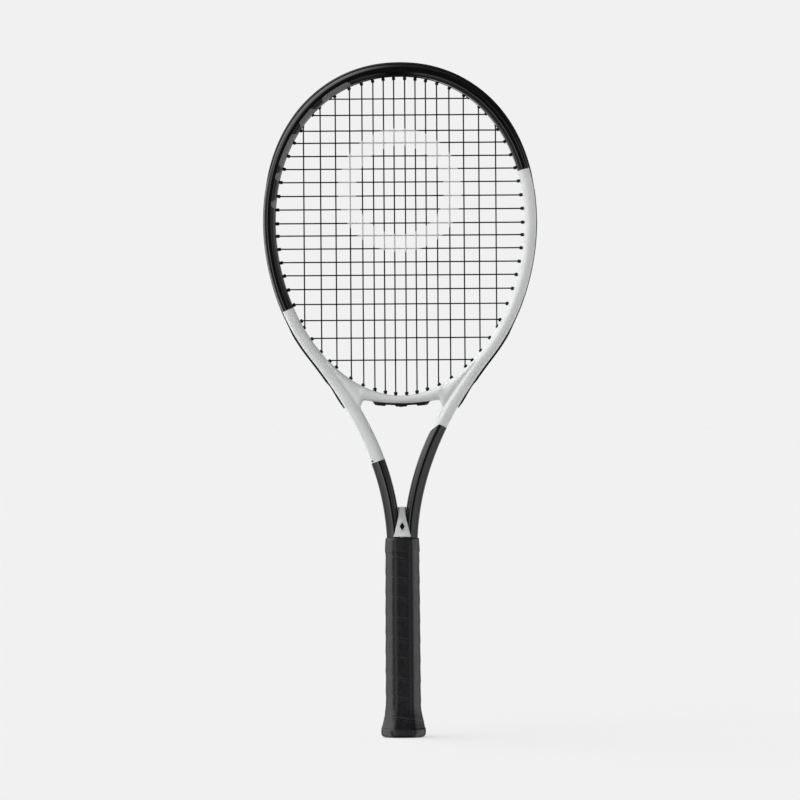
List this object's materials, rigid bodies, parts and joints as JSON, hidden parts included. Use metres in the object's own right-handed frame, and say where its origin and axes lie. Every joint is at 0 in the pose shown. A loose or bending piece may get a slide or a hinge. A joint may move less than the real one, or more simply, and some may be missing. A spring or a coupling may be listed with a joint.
{
  "type": "tennis racket",
  "caption": "Strung tennis racket: hollow hairpin frame with an oval head and open throat, woven string bed, wrapped octagonal grip and flared butt cap.",
  "frame": {"origin": "centre of the butt end, at the bottom of the handle", "axes": "+Z along the racket from the butt to the tip, X across the head, Y normal to the string bed with -Y the side that faces the viewer"},
  "size_m": [0.2776, 0.0412, 0.6858],
  "materials": {
    "frame_lacquer": "satin lacquer over carbon, black above and on the shafts, white round the lower head",
    "bridge_lacquer": "satin white lacquer",
    "grommet_nylon": "moulded nylon, fine matt texture",
    "string": "smooth extruded polyester",
    "wedge_plastic": "satin moulding",
    "badge": "silver lacquer with a raised rim",
    "pallet_foam": "moulded polyurethane foam",
    "cap_plastic": "satin moulding",
    "staple_steel": "bright wire",
    "grip": "synthetic leather, slightly tacky, pressed seam",
    "finishing_tape": "vinyl tape",
    "collar_rubber": "matt rubber"
  },
  "bodies": {
    "racket": {"frame_hoop": "frame_lacquer", "throat_bridge": "bridge_lacquer", "grommet_strip_head": "grommet_nylon", "bumper_guard": "grommet_nylon", "grommet_strip_left": "grommet_nylon", "grommet_strip_right": "grommet_nylon", "grommet_strip_throat": "grommet_nylon", "main_string": "string", "cross_string": "string", "throat_wedge": "wedge_plastic", "badge_front": "badge", "badge_back": "badge", "pallet_front": "pallet_foam", "pallet_back": "pallet_foam", "butt_cap": "cap_plastic", "butt_cap_staple_front": "staple_steel", "butt_cap_staple_back": "staple_steel", "grip_wrap": "grip", "finishing_tape": "finishing_tape", "grip_collar": "collar_rubber"},
    "cap_door": {"butt_cap_door": "cap_plastic"}
  },
  "joints": [
    {"name": "cap_door_slide", "type": "slide", "parent": "racket", "child": "cap_door", "axis": [0, 0, -1], "range_m": [0, 0.015]}
  ]
}
